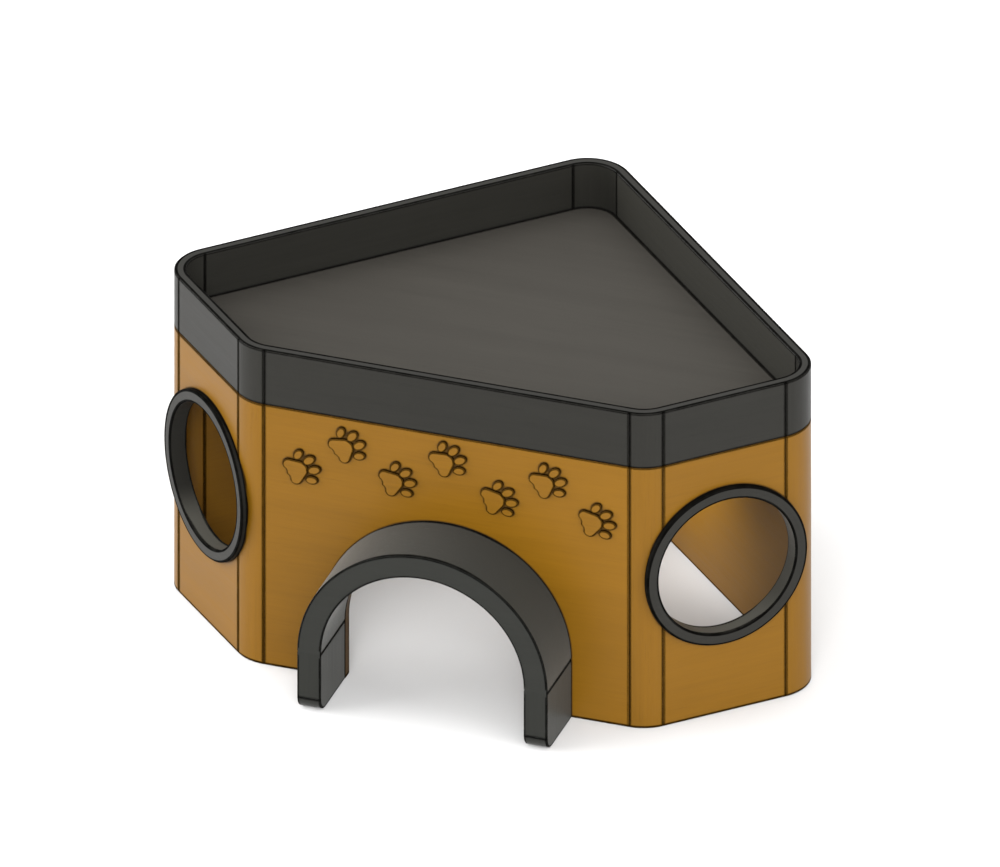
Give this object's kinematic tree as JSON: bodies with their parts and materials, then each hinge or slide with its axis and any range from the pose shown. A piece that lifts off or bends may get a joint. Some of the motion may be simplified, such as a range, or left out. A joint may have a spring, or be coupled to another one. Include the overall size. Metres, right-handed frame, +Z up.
{
  "type": "hamster house",
  "caption": "Corner hamster house with a lift-off tray roof, an arched doorway on a stub tunnel, ringed round side windows, rounded upright corners and an open base.",
  "frame": {"origin": "middle of the bounding box in plan, on the surface the house stands on", "axes": "+Z up, the doorway faces -Y, +X to the right of someone inside looking out of the back, that is to the right in the front view; X = 0 is the mirror plane"},
  "size_m": [0.2724, 0.2206, 0.145],
  "materials": {
    "wall_wood": "amber brown stained wood, satin",
    "roof_wood": "charcoal stained wood, satin",
    "ring_wood": "charcoal stained wood, satin",
    "door_wood": "charcoal stained wood, satin",
    "trim_wood": "amber brown stained wood with dark edges",
    "pale_wood": "bare beech",
    "screw_steel": "zinc plated"
  },
  "bodies": {
    "house": {"front_wall": "wall_wood", "left_wall_lower": "wall_wood", "left_wall_upper": "wall_wood", "right_wall_lower": "wall_wood", "right_wall_upper": "wall_wood", "back_left_wall": "wall_wood", "back_right_wall": "wall_wood", "front_left_corner_post": "wall_wood", "front_right_corner_post": "wall_wood", "left_corner_post": "wall_wood", "right_corner_post": "wall_wood", "back_corner_post": "wall_wood", "wall_tenons": "pale_wood", "left_window_ring": "ring_wood", "right_window_ring": "ring_wood", "door_arch_crown": "door_wood", "door_left_jamb": "door_wood", "door_right_jamb": "door_wood", "door_dowels": "pale_wood", "door_screws": "screw_steel", "paw_print_trim": "trim_wood"},
    "roof": {"roof_deck": "roof_wood", "rim_front_rail": "roof_wood", "rim_left_rail": "roof_wood", "rim_right_rail": "roof_wood", "rim_back_left_rail": "roof_wood", "rim_back_right_rail": "roof_wood", "rim_front_left_corner": "roof_wood", "rim_front_right_corner": "roof_wood", "rim_left_corner": "roof_wood", "rim_right_corner": "roof_wood", "rim_back_corner": "roof_wood", "rim_tenons": "pale_wood", "roof_cleat_front": "roof_wood", "roof_cleat_back_left": "roof_wood", "roof_cleat_back_right": "roof_wood", "roof_cleat_screws": "screw_steel"}
  },
  "joints": [
    {"name": "roof_lift", "type": "slide", "parent": "house", "child": "roof", "axis": [0, 0, 1], "range_m": [0, 0.08]}
  ]
}
